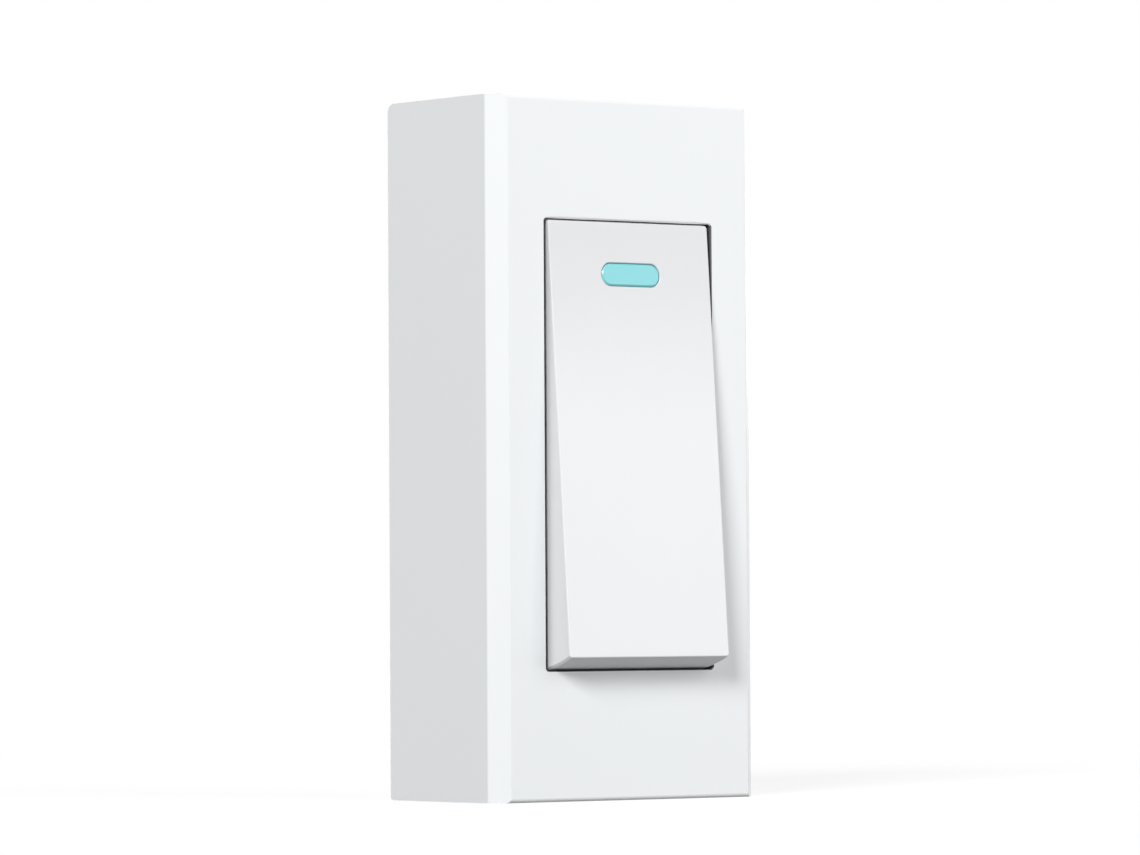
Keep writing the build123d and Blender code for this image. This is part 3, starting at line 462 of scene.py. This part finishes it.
def threaded_rings(foot, top, core_radius, thread_radius, pitch, pitch_rings):
    """Rings of a shank with a helical thread, which runs out at both ends."""
    rings = []
    steps = round(pitch_rings * (top - foot) / pitch)
    for k in range(steps + 1):
        height = foot + (top - foot) * k / steps
        fade = min(1.0, (height - foot) / pitch, (top - height) / pitch)

        def reach(angle, height=height, fade=fade):
            phase = (height / pitch - angle / math.tau) % 1.0
            flank = min(1.0, max(0.0, THREAD_CREST - THREAD_SLOPE * abs(phase - 0.5)))
            return core_radius + (thread_radius - core_radius) * flank * fade

        rings.append(turned_ring(height, reach))
    return rings


def carve(mesh, cutter_points, name):
    """The mesh with the hull of some points cut out of it."""
    body = bpy.data.objects.new("carved", mesh)
    hull = bmesh.new()
    for point in cutter_points:
        hull.verts.new(point)
    bmesh.ops.convex_hull(hull, input=hull.verts)
    cutter_mesh = bpy.data.meshes.new("cutter")
    hull.to_mesh(cutter_mesh)
    hull.free()
    cutter = bpy.data.objects.new("cutter", cutter_mesh)
    for obj in (body, cutter):
        bpy.context.scene.collection.objects.link(obj)
    cut = body.modifiers.new("cut", "BOOLEAN")
    cut.operation = "DIFFERENCE"
    cut.solver = "EXACT"
    cut.object = cutter
    evaluated = body.evaluated_get(bpy.context.evaluated_depsgraph_get())
    carved = bpy.data.meshes.new_from_object(evaluated)
    carved.name = name
    for obj in (body, cutter):
        bpy.data.objects.remove(obj)
    return carved


def box_points(half_x, half_y, low_z, high_z, foot_x=None, foot_y=None):
    """Corners of a block, which may be narrower at its foot."""
    foot_x = half_x if foot_x is None else foot_x
    foot_y = half_y if foot_y is None else foot_y
    points = []
    for x, y, z in ((half_x, half_y, high_z), (foot_x, foot_y, low_z)):
        points += [(i * x, j * y, z) for i in (-1, 1) for j in (-1, 1)]
    return points


def slotted_screw(name, length):
    """Cheese-head screw whose seat is at height 0 and whose head is above it."""
    rings = [turned_ring(-length, TERMINAL_TIP_R)]
    rings += threaded_rings(
        -length + SCREW_EDGE,
        -SCREW_EDGE,
        TERMINAL_CORE_R,
        TERMINAL_THREAD_R,
        TERMINAL_PITCH,
        TERMINAL_PITCH_RINGS,
    )
    rings += [
        turned_ring(0.0, TERMINAL_CORE_R),
        turned_ring(0.0, TERMINAL_HEAD_R - SCREW_EDGE),
        turned_ring(SCREW_EDGE, TERMINAL_HEAD_R),
        turned_ring(TERMINAL_HEAD - 2 * SCREW_EDGE, TERMINAL_HEAD_R),
        turned_ring(TERMINAL_HEAD - SCREW_EDGE / 2, TERMINAL_HEAD_R - SCREW_EDGE),
        turned_ring(TERMINAL_HEAD, TERMINAL_HEAD_R - 2.5 * SCREW_EDGE),
    ]
    slot = box_points(
        2 * TERMINAL_HEAD_R, SLOT_WIDTH / 2, TERMINAL_HEAD - SLOT_DEPTH, 2 * TERMINAL_HEAD
    )
    return carve(skin_rings(rings, name), slot, name)


def recessed_screw(name, length):
    """Pan-head screw with a cross recess, whose seat is at height 0."""
    rings = [turned_ring(-length, PAN_TIP_R)]
    rings += threaded_rings(
        -length + 2 * SCREW_EDGE,
        -SCREW_EDGE,
        PAN_CORE_R,
        PAN_THREAD_R,
        PAN_PITCH,
        PAN_PITCH_RINGS,
    )
    rings += [
        turned_ring(0.0, PAN_CORE_R),
        turned_ring(0.0, PAN_HEAD_R - SCREW_EDGE),
        turned_ring(SCREW_EDGE, PAN_HEAD_R),
    ]
    for k in range(PAN_CROWN_RINGS + 1):
        turn = math.pi / 2 * k / PAN_CROWN_RINGS
        height = PAN_HEAD - PAN_CROWN + PAN_CROWN * math.sin(turn)
        rings.append(turned_ring(height, PAN_HEAD_R - 1.1 * PAN_CROWN * (1 - math.cos(turn))))
    screw = skin_rings(rings, name)

    # Two crossed cutters, narrower at the foot, which reach a little past the head
    foot = PAN_HEAD - RECESS_DEPTH
    top = PAN_HEAD * RECESS_OVER
    wide, narrow = RECESS_TOP / 2 * RECESS_OVER, RECESS_FOOT / 2
    thick, thin = RECESS_WIDTH / 2, RECESS_WIDTH / 3
    screw = carve(screw, box_points(wide, thick, foot, top, narrow, thin), name)
    return carve(screw, box_points(thick, wide, foot, top, thin, narrow), name)


def add_screw(node, head, make):
    """Detailed screw in place of a CAD one, with its head towards the room."""
    low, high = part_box(node)
    middle = (low + high) / 2
    seat = Vector((middle.x, low.y + head, middle.z))
    length = high.y - seat.y
    axes = Matrix(((1, 0, 0), (0, 0, -1), (0, 1, 0)))
    place = Matrix.Translation(seat) @ axes.to_4x4()
    name = node + "_threaded"
    piece = add_piece(name, make(name, length), FINISHES["plated_steel"], place)
    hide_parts(node)
    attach(piece, "housing")


def spring_centres(axis, across):
    """Points along the spring's wire, about the spring's middle."""
    upwards = axis.cross(across)
    turns = SPRING_ACTIVE_TURNS + 2 * SPRING_END_TURNS
    closed = 2 * SPRING_WIRE_R * SPRING_END_TURNS
    centres = []
    for k in range(turns * SPRING_TURN_RINGS + 1):
        turn = k / SPRING_TURN_RINGS
        active = min(max(turn - SPRING_END_TURNS, 0.0), SPRING_ACTIVE_TURNS)
        rise = active / SPRING_ACTIVE_TURNS * (SPRING_LENGTH - 2 * closed)
        rise += (turn - active) * closed / SPRING_END_TURNS
        spin = across * math.cos(math.tau * turn) + upwards * math.sin(math.tau * turn)
        centres.append(axis * (rise - SPRING_LENGTH / 2) + spin * SPRING_R)
    return centres


def add_spring():
    """Coiled wire with closed ends in place of the plain CAD spring."""
    low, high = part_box("plunger_spring")
    middle = (low + high) / 2
    axis = -Vector(PLUNGER_JOINT["axis"]).normalized()
    centres = spring_centres(axis, Vector((1.0, 0.0, 0.0)))
    rings = []
    for k, centre in enumerate(centres):
        before = centres[max(k - 1, 0)]
        after = centres[min(k + 1, len(centres) - 1)]
        along = (after - before).normalized()
        outwards = (centre - axis * centre.dot(axis)).normalized()
        side = along.cross(outwards).normalized()
        outwards = side.cross(along)
        ring = []
        for i in range(SPRING_WIRE_SIDES):
            angle = math.tau * i / SPRING_WIRE_SIDES
            reach = outwards * math.cos(angle) + side * math.sin(angle)
            ring.append(centre + reach * SPRING_WIRE_R)
        rings.append(ring)
    mesh = skin_rings(rings, "plunger_spring_wire")
    place = Matrix.Translation(middle)
    piece = add_piece("plunger_spring_wire", mesh, FINISHES["spring_steel"], place)
    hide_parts("plunger_spring")
    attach(piece, "rocker")
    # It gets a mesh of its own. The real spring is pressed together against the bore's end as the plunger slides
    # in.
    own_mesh(piece)


def seen_as_background(tree):
    """1 where the camera, a mirror or glass looks straight at a surface, and 0 for the rest."""
    path = tree.nodes.new("ShaderNodeLightPath")
    total = path.outputs["Is Camera Ray"]
    for ray in ("Is Glossy Ray", "Is Transmission Ray"):
        larger = tree.nodes.new("ShaderNodeMath")
        larger.operation = "MAXIMUM"
        tree.links.new(total, larger.inputs[0])
        tree.links.new(path.outputs[ray], larger.inputs[1])
        total = larger.outputs["Value"]
    return total


def mix_shaders(tree, factor, first, second, surface):
    """Link a mix of two shaders to an output node's surface."""
    mix = tree.nodes.new("ShaderNodeMixShader")
    tree.links.new(factor, mix.inputs["Fac"])
    tree.links.new(first, mix.inputs[1])
    tree.links.new(second, mix.inputs[2])
    tree.links.new(mix.outputs["Shader"], surface)


def floor_finish():
    """Pale floor that holds the object's shadow, and fades to plain white further off."""
    material, tree, shader = new_material("floor_finish")
    shader.inputs["Base Color"].default_value = (FLOOR_TONE, FLOOR_TONE, FLOOR_TONE, 1.0)
    shader.inputs["Roughness"].default_value = FLOOR_ROUGHNESS
    shader.inputs["Specular IOR Level"].default_value = 0.0
    shader.inputs["Emission Color"].default_value = WHITE
    seen = seen_as_background(tree)
    tree.links.new(product(tree, seen, FLOOR_LIFT), shader.inputs["Emission Strength"])

    source = tree.nodes.new("ShaderNodeTexCoord")
    length = tree.nodes.new("ShaderNodeVectorMath")
    length.operation = "LENGTH"
    tree.links.new(source.outputs["Object"], length.inputs[0])
    far = product(tree, share(tree, length.outputs["Value"], FLOOR_NEAR, FLOOR_FAR), seen)
    plain = tree.nodes.new("ShaderNodeEmission")
    surface = tree.nodes["Material Output"].inputs["Surface"]
    mix_shaders(tree, far, shader.outputs["BSDF"], plain.outputs["Emission"], surface)
    return material


def build_floor():
    """Floor at the housing's foot, with its own origin under the housing."""
    half = FLOOR_SIZE / 2
    mesh = bpy.data.meshes.new("floor")
    corners = [(-half, -half, 0.0), (half, -half, 0.0), (half, half, 0.0), (-half, half, 0.0)]
    mesh.from_pydata(corners, [], [(0, 1, 2, 3)])
    mesh.materials.append(floor_finish())
    floor = bpy.data.objects.new("floor", mesh)
    floor.location = (0.0, (cad_low.y + cad_high.y) / 2, cad_low.z)
    bpy.context.scene.collection.objects.link(floor)


def build_world():
    """White where it is seen, and a soft even light for the rest."""
    world = bpy.data.worlds.new("studio")
    bpy.context.scene.world = world
    world.use_nodes = True
    tree = world.node_tree
    seen = tree.nodes["Background"]
    light = tree.nodes.new("ShaderNodeBackground")
    for background, strength in ((seen, 1.0), (light, AMBIENT)):
        background.inputs["Color"].default_value = WHITE
        background.inputs["Strength"].default_value = strength
    surface = tree.nodes["World Output"].inputs["Surface"]
    outputs = light.outputs["Background"], seen.outputs["Background"]
    mix_shaders(tree, seen_as_background(tree), *outputs, surface)


def softbox(name, azimuth, elevation, distance, side, power):
    """Square lamp that faces the switch. Azimuth 0 is in front, positive to the right."""
    a, e = math.radians(azimuth), math.radians(elevation)
    towards = Vector((math.sin(a) * math.cos(e), -math.cos(a) * math.cos(e), math.sin(e)))
    lamp = bpy.data.lights.new(name, "AREA")
    lamp.shape = "SQUARE"
    lamp.size = side
    lamp.energy = power
    obj = bpy.data.objects.new(name, lamp)
    obj.location = (cad_low + cad_high) / 2 + towards * distance
    obj.rotation_mode = "QUATERNION"
    obj.rotation_quaternion = towards.to_track_quat("Z", "Y")
    bpy.context.scene.collection.objects.link(obj)


def place_camera():
    """Camera at the photograph's viewpoint."""
    forward = Vector(
        (
            math.sin(CAMERA_YAW) * math.cos(CAMERA_PITCH),
            math.cos(CAMERA_YAW) * math.cos(CAMERA_PITCH),
            math.sin(CAMERA_PITCH),
        )
    )
    right = Vector((math.cos(CAMERA_YAW), -math.sin(CAMERA_YAW), 0.0))
    up = right.cross(forward)
    turned_right = math.cos(CAMERA_ROLL) * right + math.sin(CAMERA_ROLL) * up
    turned_up = math.cos(CAMERA_ROLL) * up - math.sin(CAMERA_ROLL) * right
    lens = bpy.data.cameras.new("camera")
    lens.sensor_width = CAMERA_SENSOR
    lens.lens = CAMERA_LENS
    camera = bpy.data.objects.new("camera", lens)
    axes = Matrix((turned_right, turned_up, -forward)).transposed()
    camera.matrix_world = Matrix.Translation(CAMERA_PLACE) @ axes.to_4x4()
    bpy.context.scene.collection.objects.link(camera)
    bpy.context.scene.camera = camera


FINISHES = build_finishes()
dress_nodes(FINISHES)
for end in ("common", "load"):
    add_screw(end + "_terminal_screw", TERMINAL_HEAD, slotted_screw)
for end in ("upper", "lower"):
    add_screw(end + "_mechanism_screw", PAN_HEAD, recessed_screw)
add_spring()
build_floor()
build_world()
for lamp_values in LAMPS:
    softbox(*lamp_values)
place_camera()
bpy.context.scene.view_settings.view_transform = "Standard"
